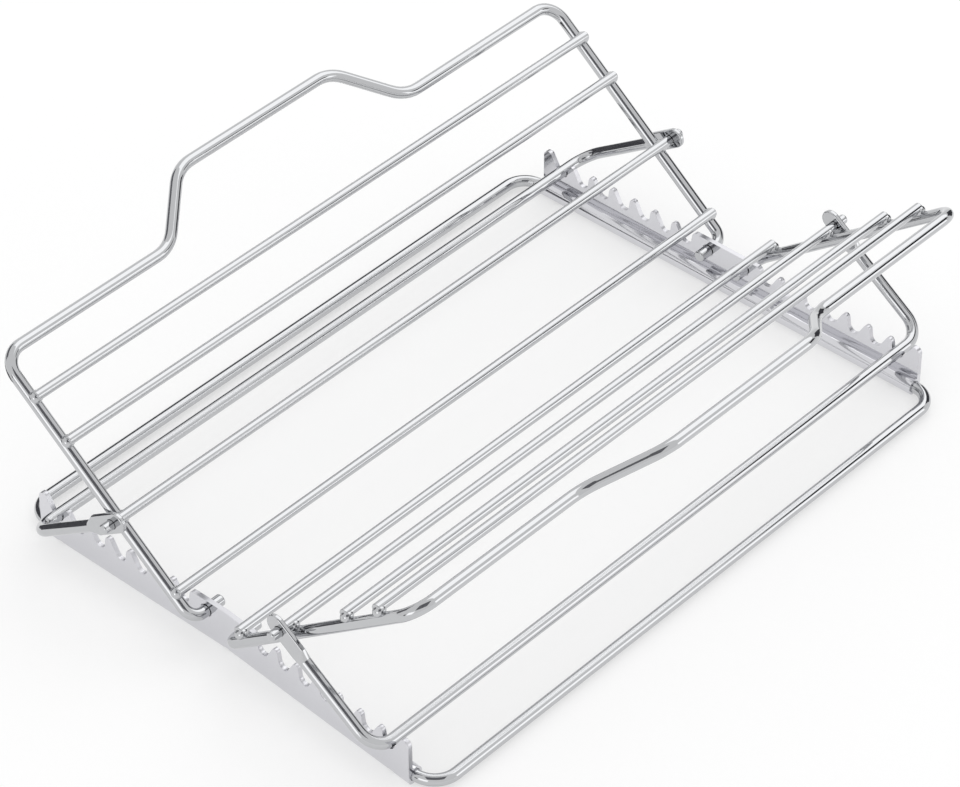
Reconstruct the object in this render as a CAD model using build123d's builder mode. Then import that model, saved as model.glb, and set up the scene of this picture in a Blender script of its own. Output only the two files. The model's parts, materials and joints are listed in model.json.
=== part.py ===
from build123d import *

import os
from math import cos, radians, sin, tan

# Adjustable folding roasting rack in chrome-plated steel wire.
# X runs along the cross wires, Y along the toothed rails, Z up. The origin lies on the table under the
# middle of the rack. Two mirrored panels hang on pivots in the middle of the rails and open as a V.
# Each is propped by a U-shaped strut whose bar sits in a notch of both rails.

# Wire stock
frame_wire = 4.8
cross_wire = 4.0
pin_end_round = 0.9
cut_end_chamfer = 0.4

# Rails: flat plates folded inwards round the base loop
rail_outer_x = 142.8
rail_thickness = 2.0
hem_wall = 0.9
hem_clearance = 0.1
hem_blend_radius = 1.6
rail_foot_radius = 2.0
left_rail_bend = 3.8
trim_allowance = 2.0

# Base loop
base_corner_radius = 9.9
base_lead = 0.2
base_bend_radius = 60.0

# Teeth of the rails
notch_count = 7
notch_first = 20.7
notch_pitch = 10.95
notch_floor = 11.9
seat_clearance = 0.3
steep_flank = 82.0
gentle_flank = 60.0
tooth_tip_radius = 1.5
plateau_corner_radius = 2.0
end_tooth_height = 20.6
end_tooth_flat = 0.3
end_tooth_corner_radius = 2.4

# Slits in the hem at its middle and near both ends
hem_slit_width = 3.2
hem_slit_height = 1.6
hem_slit_inset = 9.8

# Panel pivots in the rails
pivot_half_gap = 9.25
pivot_height = 14.3
pivot_hole_clearance = 0.35
pivot_hole_wall = 1.95
pivot_straight = 1.8
pivot_pin_inside = 6.0

# Panels, measured along the panel from the pivot axis
panel_angle = 38.0
panel_side_gap = 4.8
panel_length = 117.4
panel_corner_radius = 9.0
handle_height = 23.7
handle_base_half_width = 64.6
handle_top_half_width = 41.1
handle_bend_radius = 16.0
lower_wire_at = 11.2
cross_wire_pitch = 33.65
top_wire_drop = 19.2
weld_depth = 0.1
wire_end_inset = 1.4

# Struts
strut_gap = 0.6
strut_corner_radius = 9.0
eyelet_clearance = 0.25
eyelet_width = 8.2
eyelet_thickness = 2.0
eyelet_edge_round = 0.6
eyelet_tip = 6.6
eyelet_length = 10.5
flattening_length = 3.5
flattening_start_flat = 0.1
hinge_pin_overhang = 4.6

# Values worked out from the sizes above
frame_radius = frame_wire / 2
cross_radius = cross_wire / 2
hem_radius = frame_radius + hem_clearance + hem_wall
base_wire_x = rail_outer_x - hem_radius
base_wire_z = hem_radius
left_bend_slope = tan(radians(left_rail_bend))
pivot_hole_radius = frame_radius + pivot_hole_clearance
plateau_height = pivot_height + pivot_hole_radius + pivot_hole_wall
panel_half_width = rail_outer_x + panel_side_gap + frame_radius
pivot_bend_radius = panel_side_gap + frame_radius - pivot_straight
cross_wire_lift = frame_radius + cross_radius - weld_depth
hinge_wire_at = lower_wire_at + cross_wire_pitch
upper_wire_at = hinge_wire_at + cross_wire_pitch
top_wire_at = panel_length - top_wire_drop
strut_x = panel_half_width + frame_wire + strut_gap

# Teeth: sharp roots and tips of the saw line, before they are rounded
notch_radius = frame_radius + seat_clearance
seat_y = notch_first + (notch_count - 1) * notch_pitch
seat_z = notch_floor + notch_radius
half_opening = radians(180 - steep_flank - gentle_flank) / 2
root_axis = radians(gentle_flank) + half_opening
root_inset = notch_radius / sin(half_opening) * cos(root_axis)
root_z = seat_z - notch_radius / sin(half_opening) * sin(root_axis)
steep_run = 1 / tan(radians(steep_flank))
gentle_run = 1 / tan(radians(gentle_flank))
tip_rise = notch_pitch / (steep_run + gentle_run)
end_tooth_start = seat_y - root_inset + (end_tooth_height - root_z) * gentle_run
end_tooth_tip_run = tooth_tip_radius * tan(radians(gentle_flank) / 2)
rail_half_length = end_tooth_start + end_tooth_tip_run + end_tooth_flat + end_tooth_corner_radius
base_half_depth = rail_half_length + base_lead + base_corner_radius


def panel_plane(side):
    """Plane of a panel: origin on its pivot axis, Y up along it, Z to the inside of the V."""
    lean = radians(panel_angle)
    along = Vector(0, side * cos(lean), sin(lean))
    across = Vector(side, 0, 0)
    return Plane(
        origin=(0, side * pivot_half_gap, pivot_height),
        x_dir=across,
        z_dir=across.cross(along),
    )


def strut_plane(side):
    """Plane of a strut: origin on its hinge axis, Y down to the seat in the notches."""
    hinge = panel_plane(side).from_local_coords(Vector(0, hinge_wire_at, cross_wire_lift))
    seat = Vector(0, side * seat_y, seat_z)
    along = (seat - hinge).normalized()
    across = Vector(side, 0, 0)
    return Plane(origin=hinge, x_dir=across, z_dir=across.cross(along)), (seat - hinge).length


def half_rail_outline():
    """Points and corner radii of a half rail's edge, from its middle along the teeth to its foot."""
    first_root = notch_first - root_inset
    points = [(0, plateau_height)]
    points.append((first_root - (plateau_height - root_z) * steep_run, plateau_height))
    radii = [plateau_corner_radius]
    for notch in range(notch_count):
        root_y = first_root + notch * notch_pitch
        points.append((root_y, root_z))
        radii.append(notch_radius)
        if notch < notch_count - 1:
            points.append((root_y + tip_rise * gentle_run, root_z + tip_rise))
            radii.append(tooth_tip_radius)
    points.append((end_tooth_start, end_tooth_height))
    radii.append(tooth_tip_radius)
    points.append((rail_half_length, end_tooth_height))
    radii.append(end_tooth_corner_radius)
    points.append((rail_half_length, -trim_allowance))
    radii.append(0)
    points.append((0, -trim_allowance))
    return points, radii


# Base loop: the left side is bent outwards at its middle, so its front corner stands further out
front_left_x = -base_wire_x - base_half_depth * left_bend_slope
with BuildPart() as base_frame:
    with BuildLine(Plane.XY.offset(base_wire_z)) as loop:
        FilletPolyline(
            (0, base_half_depth),
            (-base_wire_x, base_half_depth),
            (-base_wire_x, 0),
            (front_left_x, -base_half_depth),
            (base_wire_x, -base_half_depth),
            (base_wire_x, base_half_depth),
            (0, base_half_depth),
            radius=[
                0,
                base_corner_radius,
                base_bend_radius,
                base_corner_radius,
                base_corner_radius,
                base_corner_radius,
            ],
        )
    with BuildSketch(Plane(origin=loop.line @ 0, z_dir=loop.line % 0)):
        Circle(frame_radius)
    sweep()
base_frame.part.label = "base_frame"


def build_rail(side, bend_slope):
    """A rail: hem and plate run along the base wire, then the teeth, slits and pivot holes are cut."""
    edge_points, edge_radii = half_rail_outline()
    front_run = Vector(-bend_slope, -1, 0)
    blank_length = rail_half_length + trim_allowance
    blank_height = max(end_tooth_height, root_z + tip_rise) + trim_allowance
    reach = rail_outer_x + rail_half_length
    side_view = Plane.YZ.offset(-reach)
    slit_y = rail_half_length - hem_slit_inset
    slits = [(at, hem_slit_height / 2) for at in (-slit_y, 0, slit_y)]
    pivots = [(-pivot_half_gap, pivot_height), (pivot_half_gap, pivot_height)]
    with BuildPart() as rail:
        # Section at the middle: flat outer plate, foot folded inwards round the base wire
        with BuildSketch(Plane.XZ) as section:
            with Locations((side * (rail_outer_x - rail_thickness / 2), blank_height / 2)):
                Rectangle(rail_thickness, blank_height)
            with Locations((side * (rail_outer_x - hem_radius / 2), hem_radius / 2)):
                Rectangle(hem_radius, hem_radius)
            with Locations((side * base_wire_x, base_wire_z)):
                Circle(hem_radius)
            corners = section.vertices()
            foot = corners.sort_by_distance((side * rail_outer_x, 0))[0]
            seam = corners.sort_by_distance((side * (rail_outer_x - rail_thickness), 2 * hem_radius))[0]
            fillet(foot, rail_foot_radius)
            fillet(seam, hem_blend_radius)
            with Locations((side * base_wire_x, base_wire_z)):
                Circle(frame_radius + hem_clearance, mode=Mode.SUBTRACT)
        extrude(amount=blank_length, dir=(0, 1, 0))
        extrude(section.sketch, amount=blank_length * front_run.length, dir=front_run.normalized())
        # The blank is trimmed to its side view with the teeth
        with BuildSketch(side_view):
            with BuildLine():
                FilletPolyline(*edge_points, radius=edge_radii)
                mirror(about=Plane.YZ)
            make_face()
        extrude(amount=2 * reach, mode=Mode.INTERSECT)
        # Pivot holes near the top of the plateau, and slits in the hem
        with BuildSketch(side_view):
            with Locations(*pivots):
                Circle(pivot_hole_radius)
            with Locations(*slits):
                Rectangle(hem_slit_width, hem_slit_height)
        extrude(amount=2 * reach, mode=Mode.SUBTRACT)
    return rail


left_rail = build_rail(-1, left_bend_slope)
left_rail.part.label = "left_rail"
right_rail = build_rail(1, 0)
right_rail.part.label = "right_rail"


def build_panel_frame(side):
    """One bent wire: pivot pins, side wires, top wire and handle."""
    pin_tip_x = rail_outer_x - rail_thickness - pivot_pin_inside
    handle_top = panel_length + handle_height
    right_half = [
        (handle_top_half_width, handle_top),
        (handle_base_half_width, panel_length),
        (panel_half_width, panel_length),
        (panel_half_width, 0),
        (pin_tip_x, 0),
    ]
    left_half = [(-x, y) for x, y in reversed(right_half)]
    half_radii = [handle_bend_radius, handle_bend_radius, panel_corner_radius, pivot_bend_radius]
    with BuildPart() as panel_frame:
        with BuildLine(panel_plane(side)) as path:
            FilletPolyline(*left_half, *right_half, radius=half_radii[::-1] + half_radii)
        with BuildSketch(Plane(origin=path.line @ 0, z_dir=path.line % 0)):
            Circle(frame_radius)
        sweep()
        fillet(panel_frame.faces().filter_by(GeomType.PLANE).edges(), pin_end_round)
    return panel_frame


def build_cross_wire(side, at, half_length):
    """A straight cross wire on the inner face of a panel."""
    middle = panel_plane(side).from_local_coords(Vector(0, at, cross_wire_lift))
    with BuildPart() as wire:
        with BuildSketch(Plane(origin=middle, z_dir=(1, 0, 0))):
            Circle(cross_radius)
        extrude(amount=half_length, both=True)
        chamfer(wire.faces().filter_by(GeomType.PLANE).edges(), cut_end_chamfer)
    return wire


def build_strut(side):
    """U-shaped prop: round bar and arms, ends flattened and pierced for the hinge wire."""
    plane, length = strut_plane(side)
    arm_start = eyelet_length + flattening_length
    start_round = frame_radius - flattening_start_flat / 2
    tip_centre = eyelet_width / 2 - eyelet_tip
    with BuildPart() as strut:
        # Flat ends with rounded rims
        for end in (-1, 1):
            eyelet_axis = plane.from_local_coords(Vector(end * strut_x, 0, 0))
            with BuildSketch(Plane(origin=eyelet_axis, x_dir=plane.y_dir, z_dir=plane.x_dir)):
                with Locations((tip_centre, 0)):
                    Circle(eyelet_width / 2)
                with Locations(((tip_centre + eyelet_length) / 2, 0)):
                    Rectangle(eyelet_length - tip_centre, eyelet_width)
            extrude(amount=eyelet_thickness / 2, both=True)
        flats = strut.faces().filter_by(Axis.X)
        rims = flats.edges() - flats.edges().filter_by(Axis(plane.origin, plane.z_dir))
        fillet(rims, eyelet_edge_round)
        for end in (-1, 1):
            eyelet_axis = plane.from_local_coords(Vector(end * strut_x, 0, 0))
            with BuildSketch(Plane(origin=eyelet_axis, x_dir=plane.y_dir, z_dir=plane.x_dir)):
                Circle(cross_radius + eyelet_clearance)
            extrude(amount=eyelet_thickness, both=True, mode=Mode.SUBTRACT)
            # The round arm is pressed flat over a short length
            round_end = plane.from_local_coords(Vector(end * strut_x, arm_start, 0))
            flat_end = plane.from_local_coords(Vector(end * strut_x, eyelet_length, 0))
            with BuildSketch(Plane(origin=round_end, x_dir=plane.z_dir, z_dir=plane.y_dir)):
                RectangleRounded(frame_wire, frame_wire, start_round)
            with BuildSketch(Plane(origin=flat_end, x_dir=plane.z_dir, z_dir=plane.y_dir)):
                RectangleRounded(eyelet_width, eyelet_thickness, eyelet_edge_round)
            loft()
        with BuildLine(plane) as path:
            FilletPolyline(
                (-strut_x, arm_start),
                (-strut_x, length),
                (strut_x, length),
                (strut_x, arm_start),
                radius=strut_corner_radius,
            )
        with BuildSketch(Plane(origin=path.line @ 0, z_dir=path.line % 0)):
            Circle(frame_radius)
        sweep()
    return strut


os.makedirs("parts", exist_ok=True)
export_step(base_frame.part, "parts/base_frame.step")
export_step(left_rail.part, "parts/left_rail.step")
export_step(right_rail.part, "parts/right_rail.step")

# The hinge wires are longer: their ends are the pins of the struts
plain_half_length = panel_half_width + frame_radius - wire_end_inset
pin_half_length = strut_x + eyelet_thickness / 2 + hinge_pin_overhang
cross_wires = {
    "lower_wire": (lower_wire_at, plain_half_length),
    "hinge_wire": (hinge_wire_at, pin_half_length),
    "upper_wire": (upper_wire_at, plain_half_length),
    "top_wire": (top_wire_at, plain_half_length),
}
for panel, side in (("back", 1), ("front", -1)):
    panel_frame = build_panel_frame(side)
    panel_frame.part.label = f"{panel}_panel_frame"
    export_step(panel_frame.part, f"parts/{panel}_panel_frame.step")
    for name, (at, half_length) in cross_wires.items():
        wire = build_cross_wire(side, at, half_length)
        wire.part.label = f"{panel}_{name}"
        export_step(wire.part, f"parts/{panel}_{name}.step")
    strut = build_strut(side)
    strut.part.label = f"{panel}_strut"
    export_step(strut.part, f"parts/{panel}_strut.step")
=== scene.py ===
# %% [markdown]
# # A folding roasting rack in chrome-plated wire
# The rack is bent from bright wire: two panels open as a V, hang on pins in two toothed rails, and are
# propped by struts that drop into the notches. Its shapes already exist as solids, so this lesson loads
# them as a fixed frame and gives each piece the surface that the eye expects of it. The struts keep their
# solids, which have the flattened and pierced ends already.

# %% Load the frame
import json
import math

import bmesh
import bpy
from mathutils import Matrix, Vector


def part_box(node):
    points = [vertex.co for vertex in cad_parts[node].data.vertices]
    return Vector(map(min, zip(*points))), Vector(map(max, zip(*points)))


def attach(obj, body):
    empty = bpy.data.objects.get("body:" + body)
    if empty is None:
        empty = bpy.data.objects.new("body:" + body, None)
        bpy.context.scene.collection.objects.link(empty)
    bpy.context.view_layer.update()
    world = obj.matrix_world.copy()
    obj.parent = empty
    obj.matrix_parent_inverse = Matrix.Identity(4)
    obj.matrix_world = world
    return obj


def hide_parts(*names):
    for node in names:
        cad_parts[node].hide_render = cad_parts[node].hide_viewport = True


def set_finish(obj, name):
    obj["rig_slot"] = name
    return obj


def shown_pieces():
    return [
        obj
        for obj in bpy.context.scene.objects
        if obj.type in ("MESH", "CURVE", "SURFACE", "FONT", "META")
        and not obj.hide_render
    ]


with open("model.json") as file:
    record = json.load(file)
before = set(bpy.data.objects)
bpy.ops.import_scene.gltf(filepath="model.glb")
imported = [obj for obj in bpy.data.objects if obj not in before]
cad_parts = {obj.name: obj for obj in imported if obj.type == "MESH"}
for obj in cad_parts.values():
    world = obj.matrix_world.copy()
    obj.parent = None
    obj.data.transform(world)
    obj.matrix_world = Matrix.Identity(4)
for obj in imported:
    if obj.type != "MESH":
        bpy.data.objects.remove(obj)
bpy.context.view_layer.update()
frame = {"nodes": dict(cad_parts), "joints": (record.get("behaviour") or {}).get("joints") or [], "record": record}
MM = 0.001

# %% [markdown]
# ## Bending wire
# A wire bender feeds straight wire and turns it round a former. A bmesh can do just that: a ring of
# edges is extruded for each straight run and spun round an axis for each bend. A bevelled curve would
# be shorter to write, but its rings crowd in tight bends and its ends are open or flat. Spun rings stay
# even, and the last one can be drawn in to a rounded tip.

# %% Rings of wire
WIRE_SIDES = 40


def verts_of(edges):
    """The vertices of a ring of edges, each once."""
    return list({vert for edge in edges for vert in edge.verts})


def start_ring(bm, at, heading, radius):
    """A ring of wire section, square to the heading."""
    place = Matrix.Translation(at) @ heading.to_track_quat("Z", "Y").to_matrix().to_4x4()
    made = bmesh.ops.create_circle(bm, segments=WIRE_SIDES, radius=radius, matrix=place)
    return list({edge for vert in made["verts"] for edge in vert.link_edges})


# %% Feeding and bending
BEND_STEP = math.radians(7.5)


def feed(bm, ring, run):
    """Extrudes a ring along a vector and returns the new ring."""
    made = bmesh.ops.extrude_edge_only(bm, edges=ring)["geom"]
    moved = {item for item in made if isinstance(item, bmesh.types.BMVert)}
    bmesh.ops.translate(bm, verts=list(moved), vec=run)
    edges = [item for item in made if isinstance(item, bmesh.types.BMEdge)]
    return [edge for edge in edges if moved.issuperset(edge.verts)]


def bend(bm, ring, centre, axis, angle):
    """Spins a ring round an axis and returns the last ring."""
    steps = max(2, round(angle / BEND_STEP))
    made = bmesh.ops.spin(
        bm, geom=verts_of(ring) + ring, cent=centre, axis=axis, angle=angle, steps=steps
    )
    return [item for item in made["geom_last"] if isinstance(item, bmesh.types.BMEdge)]


# %% Rounded tips
TIP_STEPS = 5


def middle_of(ring):
    """The centre of a ring."""
    verts = verts_of(ring)
    return sum((vert.co for vert in verts), Vector()) / len(verts)


def round_tip(bm, ring, heading, radius, rounding):
    """Draws the last ring in to a rounded tip and closes it."""
    reached, width = 0.0, radius
    for step in range(1, TIP_STEPS + 1):
        swing = math.pi / 2 * step / TIP_STEPS
        reach = rounding * math.sin(swing)
        new_width = radius - rounding * (1 - math.cos(swing))
        ring = feed(bm, ring, heading * (reach - reached))
        to_middle = Matrix.Translation(-middle_of(ring))
        bmesh.ops.scale(bm, verts=verts_of(ring), vec=[new_width / width] * 3, space=to_middle)
        reached, width = reach, new_width
    bmesh.ops.contextual_create(bm, geom=ring)


# %% [markdown]
# ## From mesh to piece
# A bent mesh becomes an object that rides on one body of the frame and names the stock that it is made
# of. Plain smooth shading would bend the light on large flat faces next to a bend or a rounded edge. So
# the normals are weighed by the size of the faces, and a straight run or a plate keeps its reflections
# straight right up to its edge.

# %% Finished pieces
MERGE_WITHIN = 0.001 * MM
CREASE = math.radians(40)


def finish_piece(bm, name, body, slot):
    """Turns a bmesh into a smooth object that rides on a body."""
    bmesh.ops.remove_doubles(bm, verts=bm.verts, dist=MERGE_WITHIN)
    bmesh.ops.recalc_face_normals(bm, faces=bm.faces)
    mesh = bpy.data.meshes.new(name)
    bm.to_mesh(mesh)
    bm.free()
    mesh.shade_smooth()
    mesh.set_sharp_from_angle(angle=CREASE)
    piece = bpy.data.objects.new(name, mesh)
    bpy.context.scene.collection.objects.link(piece)
    flatten = piece.modifiers.new("large_faces_stay_flat", "WEIGHTED_NORMAL")
    flatten.mode = "FACE_AREA"
    flatten.keep_sharp = True
    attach(piece, body)
    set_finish(piece, slot)
    print(name, "has", len(mesh.polygons), "faces")
    return piece


# %% Wire from corner to corner
def bend_wire(name, body, corners, bends, radius, rounding=0):
    """Feeds wire along the corners and bends it at each. With no rounding, the wire closes on itself."""
    bm = bmesh.new()
    at = corners[0]
    heading = (corners[1] - at).normalized()
    at = at + heading * rounding
    ring = start_ring(bm, at, heading, radius)
    if rounding:
        round_tip(bm, ring, -heading, radius, rounding)
    for corner, after, bend_radius in zip(corners[1:], corners[2:], bends):
        turned = (after - corner).normalized()
        angle = heading.angle(turned)
        axis = heading.cross(turned).normalized()
        bend_start = corner - heading * bend_radius * math.tan(angle / 2)
        ring = feed(bm, ring, bend_start - at)
        ring = bend(bm, ring, bend_start + axis.cross(heading) * bend_radius, axis, angle)
        at = corner + turned * bend_radius * math.tan(angle / 2)
        heading = turned
    ring = feed(bm, ring, corners[-1] - heading * rounding - at)
    if rounding:
        round_tip(bm, ring, heading, radius, rounding)
    return finish_piece(bm, name, body, "wire")


# %% [markdown]
# ## Base loop
# One wire runs round the bottom of the rack and both ends meet, so there is no tip to round. The rack in
# the picture has been used: its left side is bent outwards a little from the middle on.

# %% Base loop
BASE_CORNER = 9.9 * MM
LEFT_BEND = math.radians(3.8)
LEFT_BEND_RADIUS = 60 * MM

base_low, base_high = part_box("base_frame")
frame_radius = (base_high.z - base_low.z) / 2
base_x = base_high.x - frame_radius
base_y = base_high.y - frame_radius
base_z = base_high.z - frame_radius
base_corners = [
    Vector((0, base_y, base_z)),
    Vector((-base_x, base_y, base_z)),
    Vector((-base_x, 0, base_z)),
    Vector((-base_x - base_y * math.tan(LEFT_BEND), -base_y, base_z)),
    Vector((base_x, -base_y, base_z)),
    Vector((base_x, base_y, base_z)),
    Vector((0, base_y, base_z)),
]
base_bends = [BASE_CORNER, LEFT_BEND_RADIUS, BASE_CORNER, BASE_CORNER, BASE_CORNER]
base_loop = bend_wire("base_loop", "base", base_corners, base_bends, frame_radius)
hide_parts("base_frame")

# %% [markdown]
# ## Panel wires
# Each panel is one wire: it starts as a pin in a rail, turns up the side, crosses the top with a raised
# handle, and comes down to the other pin. The joints say where the pins turn, and the solid's box says
# how far the handle reaches, so the panel's slope is the line between the two.

# %% Panel wires
PANEL_CORNER = 9.0 * MM
HANDLE_BEND = 16.0 * MM
HANDLE_HEIGHT = 23.7 * MM
HANDLE_BASE = 64.6 * MM
HANDLE_TOP = 41.1 * MM
PIVOT_BEND = 5.4 * MM
PIN_TIP = 134.8 * MM
PIN_ROUND = 0.9 * MM

pivots = {joint["child"]: Vector(joint["pos_m"]) for joint in frame["joints"]}


def panel_wire(panel, side):
    """Bends the outer wire of one panel and returns the direction of its slope."""
    low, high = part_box(f"{panel}_panel_frame")
    half_width = high.x - frame_radius
    pivot = pivots[f"{panel}_panel"]
    handle_y = high.y - frame_radius if side > 0 else low.y + frame_radius
    slope = Vector((0, handle_y, high.z - frame_radius)) - pivot
    along = slope.normalized()
    top = slope.length - HANDLE_HEIGHT
    half = [
        (HANDLE_TOP, slope.length),
        (HANDLE_BASE, top),
        (half_width, top),
        (half_width, 0),
        (PIN_TIP, 0),
    ]
    outline = [(-x, reach) for x, reach in reversed(half)] + half
    corners = [pivot + Vector((x, 0, 0)) + along * reach for x, reach in outline]
    half_bends = [HANDLE_BEND, HANDLE_BEND, PANEL_CORNER, PIVOT_BEND]
    bends = half_bends[::-1] + half_bends
    piece = bend_wire(f"{panel}_panel_wire", f"{panel}_panel", corners, bends, frame_radius, PIN_ROUND)
    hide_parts(f"{panel}_panel_frame")
    return along


PANELS = {"back": 1, "front": -1}
slopes = {panel: panel_wire(panel, side) for panel, side in PANELS.items()}

# %% [markdown]
# ## Cross wires
# Thinner straight wires lie on the inside of each panel. The longest one carries the strut on its ends,
# which are rounded so that the eyelets slip on. The others are just cut off.
# A box round a straight wire gives its line, its length and its thickness.

# %% Cross wires
CROSS_WIRES = ["lower_wire", "hinge_wire", "upper_wire", "top_wire"]
CUT_ROUND = 0.4 * MM

for panel in PANELS:
    for kind in CROSS_WIRES:
        node = f"{panel}_{kind}"
        low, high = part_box(node)
        middle = (low + high) / 2
        ends = [Vector((low.x, middle.y, middle.z)), Vector((high.x, middle.y, middle.z))]
        radius = (high.z - low.z) / 2
        rounding = PIN_ROUND if kind == "hinge_wire" else CUT_ROUND
        wire = bend_wire(f"{node}_rod", f"{panel}_panel", ends, [], radius, rounding)
        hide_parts(node)

# %% [markdown]
# ## Welds
# Where a cross wire meets the panel's side wire, the two are pressed together hot. Metal is squeezed out
# of the joint, wraps the end of the cross wire and freezes as a small smooth lip. It could be sculpted,
# but a flattened ball sunk between the wires leaves just that lip in view.

# %% Welds
WELD_SIZE = Vector((2.6, 2.6, 2.2)) * MM
WELD_RISE = 0.7 * MM
BALL_STEPS = 3


def weld_lips(panel, side):
    """Makes all weld lips of one panel, as one piece."""
    half_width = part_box(f"{panel}_panel_frame")[1].x - frame_radius
    pivot, along = pivots[f"{panel}_panel"], slopes[panel]
    across = Vector((side, 0, 0))
    inward = across.cross(along)
    turn = Matrix((across, along, inward)).transposed().to_4x4()
    weld_height = frame_radius + WELD_RISE
    bm = bmesh.new()
    for kind in CROSS_WIRES:
        low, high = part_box(f"{panel}_{kind}")
        reach = ((low + high) / 2 - pivot).dot(along)
        for end in (-1, 1):
            seat = pivot + along * reach + inward * weld_height + Vector((end * half_width, 0, 0))
            shape = Matrix.Translation(seat) @ turn @ Matrix.Diagonal((*WELD_SIZE, 1))
            bmesh.ops.create_icosphere(bm, subdivisions=BALL_STEPS, radius=1, matrix=shape)
    finish_piece(bm, f"{panel}_welds", f"{panel}_panel", "wire")


for panel, side in PANELS.items():
    weld_lips(panel, side)

# %% [markdown]
# ## Rails
# The rails are stamped from strip. A punch rolls the edge over a little as it goes in, and plating rounds
# it further, so every cut edge shows a thin line of light. The solid has the exact teeth, so a copy of
# its mesh is merged, its flat faces are joined, and its sharp edges get a small bevel.

# %% Rails
EDGE_ROLL = 0.25 * MM
ROLL_STEPS = 2
FLAT = math.radians(0.5)
SHARP = math.radians(50)


def stamped_rail(node):
    """Makes a copy of a rail with its cut edges rolled over."""
    bm = bmesh.new()
    bm.from_mesh(frame["nodes"][node].data)
    bmesh.ops.remove_doubles(bm, verts=bm.verts, dist=MERGE_WITHIN)
    bmesh.ops.dissolve_limit(bm, angle_limit=FLAT, verts=bm.verts, edges=bm.edges)
    cut_edges = [edge for edge in bm.edges if edge.is_manifold and edge.calc_face_angle() > SHARP]
    bmesh.ops.bevel(
        bm,
        geom=cut_edges,
        offset=EDGE_ROLL,
        segments=ROLL_STEPS,
        profile=0.5,
        affect="EDGES",
        material=-1,
        clamp_overlap=True,
    )
    print(node, "has", len(cut_edges), "cut edges")
    piece = finish_piece(bm, f"{node}_plate", "base", "rail_plate")
    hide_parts(node)


stamped_rail("left_rail")
stamped_rail("right_rail")

# %% [markdown]
# ## Finishes
# Chrome plate is a thin bright metal over polished nickel. It has almost no colour of its own and is
# nearly a mirror, so what shows is the room. A glossy grey paint would not do, because its reflections
# lie on top of a colour. A fully metallic shader makes the reflections themselves the colour.

# %% Node helpers
def linear(hex_colour):
    """An sRGB hex colour as linear RGBA."""
    channels = [int(hex_colour[at : at + 2], 16) / 255 for at in (1, 3, 5)]
    return [c / 12.92 if c <= 0.04045 else ((c + 0.055) / 1.055) ** 2.4 for c in channels] + [1.0]


def add(tree, kind, settings=None, inputs=None):
    """Adds a node. Inputs are values, or output sockets to link."""
    node = tree.nodes.new(kind)
    for name, value in (settings or {}).items():
        setattr(node, name, value)
    for name, value in (inputs or {}).items():
        if isinstance(value, bpy.types.NodeSocket):
            tree.links.new(value, node.inputs[name])
        else:
            node.inputs[name].default_value = value
    return node


def new_metal(name):
    """An empty metal with its shader and its texture coordinates."""
    material = bpy.data.materials.new(name)
    material.use_nodes = True
    tree = material.node_tree
    tree.nodes.clear()
    shader = add(tree, "ShaderNodeBsdfPrincipled", inputs={"Metallic": 1.0})
    add(tree, "ShaderNodeOutputMaterial", inputs={"Surface": shader.outputs["BSDF"]})
    place = add(tree, "ShaderNodeTexCoord").outputs
    return material, tree, shader, place


# %% [markdown]
# ## Chrome on drawn wire
# Wire is drawn through a die before it is plated. That leaves faint ripples along it, which make the
# bright and dark lines waver, and a fine grain, which makes the gloss change a little from spot to spot.
# Both are noise on Object coordinates, so their sizes are real millimetres.

# %% Chrome on drawn wire
WIRE_COLOUR = "#C1C2C4"
RIPPLE = 9.0 * MM
RIPPLE_DEPTH = 0.03 * MM
RIPPLE_DETAIL = 1.0
WIRE_GRAIN = 1.2 * MM
WIRE_GRAIN_DETAIL = 3.0
WIRE_ROUGHNESS = (0.03, 0.08)
# Most of a noise texture lies between these two values
NOISE_RANGE = (0.3, 0.7)


def chrome_wire():
    """Bright chrome on drawn wire: a mirror with slow ripples and a faint change of gloss."""
    material, tree, shader, place = new_metal("chrome_plated_drawn_wire")
    ripple = add(
        tree,
        "ShaderNodeTexNoise",
        inputs={"Vector": place["Object"], "Scale": 1 / RIPPLE, "Detail": RIPPLE_DETAIL},
    )
    bump = add(
        tree,
        "ShaderNodeBump",
        inputs={"Height": ripple.outputs["Fac"], "Strength": 1.0, "Distance": RIPPLE_DEPTH},
    )
    grain = add(
        tree,
        "ShaderNodeTexNoise",
        inputs={"Vector": place["Object"], "Scale": 1 / WIRE_GRAIN, "Detail": WIRE_GRAIN_DETAIL},
    )
    polish = add(
        tree,
        "ShaderNodeMapRange",
        inputs={
            "Value": grain.outputs["Fac"],
            "From Min": NOISE_RANGE[0],
            "From Max": NOISE_RANGE[1],
            "To Min": WIRE_ROUGHNESS[0],
            "To Max": WIRE_ROUGHNESS[1],
        },
    )
    shader.inputs["Base Color"].default_value = linear(WIRE_COLOUR)
    tree.links.new(polish.outputs["Result"], shader.inputs["Roughness"])
    tree.links.new(bump.outputs["Normal"], shader.inputs["Normal"])
    return material


wire_finish = chrome_wire()
print("made", wire_finish.name)

# %% [markdown]
# ## Chrome on stamped strip
# The rails are cut from rolled strip, which is flatter than wire and a little duller. A punch shears the
# first part of an edge and tears the rest, so the plated edges are rougher than the faces and look greyer.
# A second material on the edges would do, but the strip stands square to X, so the surface's own
# direction already tells an edge from a face. The hem turns round too, so only what is over it counts.

# %% Chrome on stamped strip
STRIP_COLOUR = "#DADADE"
TORN_COLOUR = "#D0D0D4"
STRIP_GRAIN = 4.0 * MM
STRIP_GRAIN_DETAIL = 4.0
STRIP_ROUGHNESS = (0.07, 0.13)
TORN_ROUGHNESS = 0.2
HEM_TOP = 8.0 * MM
EDGE_BELOW = 0.4
FACE_ABOVE = 0.8
# The colour sockets of a Mix node share their names with others, so they are called by number
MIX_FACTOR, MIX_FIRST, MIX_SECOND, MIX_RESULT = 0, 6, 7, 2


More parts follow.
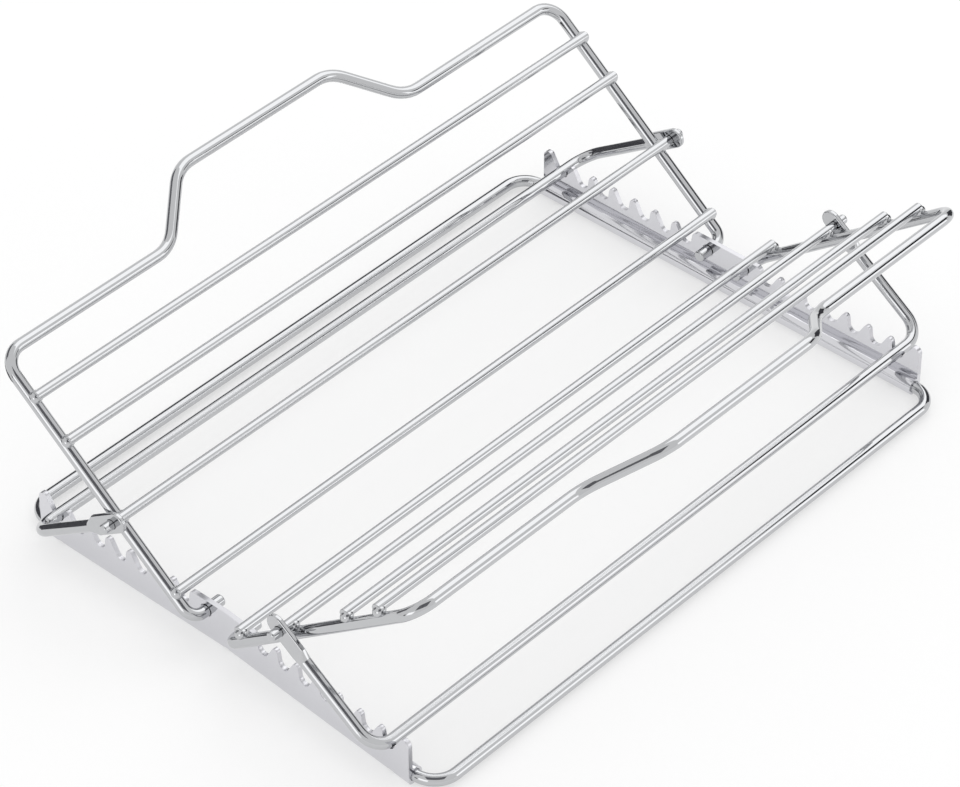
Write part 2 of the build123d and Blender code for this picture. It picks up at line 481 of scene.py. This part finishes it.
def chrome_strip():
    """Duller chrome on rolled strip, with rougher and greyer edges where the punch tore it."""
    material, tree, shader, place = new_metal("chrome_plated_stamped_strip")
    facing = add(tree, "ShaderNodeSeparateXYZ", inputs={"Vector": place["Normal"]})
    across = add(tree, "ShaderNodeMath", {"operation": "ABSOLUTE"}, {0: facing.outputs["X"]})
    edge = add(
        tree,
        "ShaderNodeMapRange",
        inputs={
            "Value": across.outputs[0],
            "From Min": EDGE_BELOW,
            "From Max": FACE_ABOVE,
            "To Min": 1.0,
            "To Max": 0.0,
        },
    )
    spot = add(tree, "ShaderNodeSeparateXYZ", inputs={"Vector": place["Object"]})
    over_hem = add(
        tree,
        "ShaderNodeMath",
        {"operation": "GREATER_THAN"},
        {0: spot.outputs["Z"], 1: HEM_TOP},
    )
    torn = add(
        tree,
        "ShaderNodeMath",
        {"operation": "MULTIPLY"},
        {0: edge.outputs["Result"], 1: over_hem.outputs[0]},
    )
    grain = add(
        tree,
        "ShaderNodeTexNoise",
        inputs={"Vector": place["Object"], "Scale": 1 / STRIP_GRAIN, "Detail": STRIP_GRAIN_DETAIL},
    )
    polish = add(
        tree,
        "ShaderNodeMapRange",
        inputs={
            "Value": grain.outputs["Fac"],
            "From Min": NOISE_RANGE[0],
            "From Max": NOISE_RANGE[1],
            "To Min": STRIP_ROUGHNESS[0],
            "To Max": STRIP_ROUGHNESS[1],
        },
    )
    rough = add(
        tree,
        "ShaderNodeMath",
        {"operation": "MULTIPLY_ADD"},
        {0: torn.outputs[0], 1: TORN_ROUGHNESS, 2: polish.outputs["Result"]},
    )
    tone = add(
        tree,
        "ShaderNodeMix",
        {"data_type": "RGBA"},
        {MIX_FACTOR: torn.outputs[0], MIX_FIRST: linear(STRIP_COLOUR), MIX_SECOND: linear(TORN_COLOUR)},
    )
    tree.links.new(tone.outputs[MIX_RESULT], shader.inputs["Base Color"])
    tree.links.new(rough.outputs[0], shader.inputs["Roughness"])
    return material


strip_finish = chrome_strip()
print("made", strip_finish.name)

# %% [markdown]
# ## Dressing
# The rack was plated in one bath after it was welded, so a finish belongs to a kind of stock and not to
# a single piece. Each solid and each new piece already names its kind, and takes the finish for it.

# %% Dress every piece
finishes = {"wire": wire_finish, "rail_plate": strip_finish}
slots = {row["node"]: row["material_slot"] for row in frame["record"]["subparts"]}
for node, solid in frame["nodes"].items():
    solid.material_slots[0].material = finishes[slots[node]]
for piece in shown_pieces():
    if not piece.material_slots:
        piece.data.materials.append(finishes[piece["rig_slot"]])

# %% [markdown]
# ## Studio
# Chrome shows the room, so the room is what gets arranged. The rack stands on white paper inside a plain
# white tent. Softboxes give the wires their bright lines. Their dark lines are painted reflections of dark
# sheets that only the metal sees. A picture of a real room round the rack would also work, but then every
# line would be where chance put it.

# %% White tent
WHITE = "#FFFFFF"
TENT_LEVEL = 0.92

world = bpy.data.worlds.new("white_tent")
world.use_nodes = True
world.node_tree.nodes.clear()
tent = add(
    world.node_tree,
    "ShaderNodeBackground",
    inputs={"Color": linear(WHITE), "Strength": TENT_LEVEL},
)
add(world.node_tree, "ShaderNodeOutputWorld", inputs={"Surface": tent.outputs["Background"]})
bpy.context.scene.world = world
print("tent level", TENT_LEVEL)

# %% [markdown]
# ## Paper floor
# White paper under a soft light still looks grey close to the rack. Half of what the camera and the metal
# see of it is therefore plain white, and the other half is the lit paper, which keeps the soft shadow.

# %% Paper and card
def matt_paper(name, colour):
    """Plain paper or card with no gloss at all, with its shader and its output."""
    material = bpy.data.materials.new(name)
    material.use_nodes = True
    tree = material.node_tree
    tree.nodes.clear()
    matt = add(tree, "ShaderNodeBsdfDiffuse", inputs={"Color": linear(colour)})
    output = add(tree, "ShaderNodeOutputMaterial", inputs={"Surface": matt.outputs["BSDF"]})
    return material, matt, output


def stage_sheet(name, place, width, height, material):
    """A flat sheet that belongs to the studio."""
    bm = bmesh.new()
    shape = place @ Matrix.Diagonal((width / 2, height / 2, 1, 1))
    bmesh.ops.create_grid(bm, x_segments=1, y_segments=1, size=1, matrix=shape)
    mesh = bpy.data.meshes.new(name)
    bm.to_mesh(mesh)
    bm.free()
    mesh.materials.append(material)
    sheet = bpy.data.objects.new(name, mesh)
    bpy.context.scene.collection.objects.link(sheet)
    return sheet


# %% Paper floor
PAPER_COLOUR = "#FBFBFB"
FLOOR_SIZE = 8.0
PAPER_WHITE = 0.5

paper, paper_matt, paper_output = matt_paper("white_paper", PAPER_COLOUR)
paper_tree = paper.node_tree
path = add(paper_tree, "ShaderNodeLightPath")
seen = add(
    paper_tree,
    "ShaderNodeMath",
    {"operation": "ADD"},
    {0: path.outputs["Is Camera Ray"], 1: path.outputs["Is Glossy Ray"]},
)
share = add(paper_tree, "ShaderNodeMath", {"operation": "MULTIPLY"}, {0: seen.outputs[0], 1: PAPER_WHITE})
white = add(paper_tree, "ShaderNodeEmission", inputs={"Color": linear(WHITE), "Strength": 1.0})
lifted = add(
    paper_tree,
    "ShaderNodeMixShader",
    inputs={0: share.outputs[0], 1: paper_matt.outputs["BSDF"], 2: white.outputs["Emission"]},
)
paper_tree.links.new(lifted.outputs["Shader"], paper_output.inputs["Surface"])
floor = stage_sheet("white_paper", Matrix.Identity(4), FLOOR_SIZE, FLOOR_SIZE, paper)
print("floor", floor.name, FLOOR_SIZE, "m wide")

# %% [markdown]
# ## Painted dark reflections
# A mirror in an all-white room looks like paper. So dark sheets stand round the rack where the room is
# in shade, and the chrome shows them as painted dark reflections. Only the metal sees these sheets:
# they throw no shadow and don't dim the floor.

# %% Places round the rack
def toward(azimuth, elevation):
    """Unit vector to a place in the room. Azimuth 0 is the front of the rack, 90 its right."""
    a, e = math.radians(azimuth), math.radians(elevation)
    return Vector((math.sin(a) * math.cos(e), -math.cos(a) * math.cos(e), math.sin(e)))


def facing_rack(azimuth, elevation, distance):
    """Places a flat thing at a distance, with its back to the room and its face to the rack."""
    out = toward(azimuth, elevation)
    return Matrix.Translation(out * distance) @ out.to_track_quat("Z", "Y").to_matrix().to_4x4()


# %% Painted dark reflections
# Azimuth and elevation in degrees, distance, width and height in metres, colour of the painted reflection
PAINTED_REFLECTION_SHEETS = {
    "camera_side_painted_reflection": (-48, 51, 0.59, 0.38, 0.38, "#78787C"),
    "right_painted_reflection": (82, 14, 0.55, 0.30, 0.30, "#4A4A4E"),
    "far_painted_reflection": (180, 9, 0.165, 0.44, 0.05, "#5A5A5E"),
    "left_far_painted_reflection": (-162, 24, 0.60, 0.34, 0.30, "#78787C"),
    "right_front_painted_reflection": (49, 29, 0.47, 0.14, 0.10, "#303034"),
    "left_painted_reflection": (-101, 6, 1.8, 0.28, 0.36, "#3A3A3E"),
}
for name, (azimuth, elevation, distance, width, height, colour) in PAINTED_REFLECTION_SHEETS.items():
    material = matt_paper(name, colour)[0]
    card = stage_sheet(name, facing_rack(azimuth, elevation, distance), width, height, material)
    # Each sheet only paints a dark reflection in the metal: the camera, diffuse light and shadows don't see it
    card.visible_camera = False
    card.visible_diffuse = False
    card.visible_shadow = False
print("set up", len(PAINTED_REFLECTION_SHEETS), "dark cards")

# %% [markdown]
# ## Softboxes
# A softbox is a lamp behind a wide white cloth. Its reflection is a broad bright line on a wire, where a
# bare bulb would give a dot. The brightness of an area lamp goes with its power over its area. So the
# power is worked out from a level, and a softbox can change its size and stay as bright.

# %% Softboxes
# Azimuth and elevation in degrees, distance, width and height in metres, level
SOFTBOXES = {
    "left_softbox": (-81, 14, 2.0, 0.95, 0.80, 0.85),
    "high_softbox": (102, 55, 2.0, 1.9, 1.45, 0.75),
    "front_softbox": (30, 12, 2.0, 1.0, 0.80, 0.85),
}
for name, (azimuth, elevation, distance, width, height, level) in SOFTBOXES.items():
    lamp = bpy.data.lights.new(name, "AREA")
    lamp.shape = "RECTANGLE"
    lamp.size = width
    lamp.size_y = height
    lamp.energy = level * math.pi * width * height
    softbox = bpy.data.objects.new(name, lamp)
    softbox.matrix_world = facing_rack(azimuth, elevation, distance)
    bpy.context.scene.collection.objects.link(softbox)
print("lit by", len(SOFTBOXES), "softboxes")

# %% [markdown]
# ## Camera
# The picture was taken from the left front, looking down, with a long lens. Place, direction and lens were
# fitted to the straight wires in it. The lens axis passes a few pixels off the middle of the frame, which
# the shift gives.

# %% Camera
IMAGE_WIDTH = 960
IMAGE_HEIGHT = 787
FOCAL_PIXELS = 4361.6
AXIS_PIXEL = (488.87, 400.04)
SENSOR = 36.0
CAMERA_AT = Vector((-935.16, -841.93, 1089.85)) * MM
CAMERA_AZIMUTH = -48.0
CAMERA_ELEVATION = 40.12

view = bpy.data.cameras.new("camera")
view.sensor_width = SENSOR
view.lens = FOCAL_PIXELS / IMAGE_WIDTH * SENSOR
view.shift_x = -(AXIS_PIXEL[0] - IMAGE_WIDTH / 2) / IMAGE_WIDTH
view.shift_y = (AXIS_PIXEL[1] - IMAGE_HEIGHT / 2) / IMAGE_WIDTH
camera = bpy.data.objects.new("camera", view)
camera.location = CAMERA_AT
camera.rotation_euler = (math.radians(90 - CAMERA_ELEVATION), 0, math.radians(CAMERA_AZIMUTH))
bpy.context.scene.collection.objects.link(camera)
bpy.context.scene.camera = camera
bpy.context.scene.view_settings.view_transform = "Standard"
print("lens", round(view.lens, 1), "mm, shift", round(view.shift_x, 4), round(view.shift_y, 4))
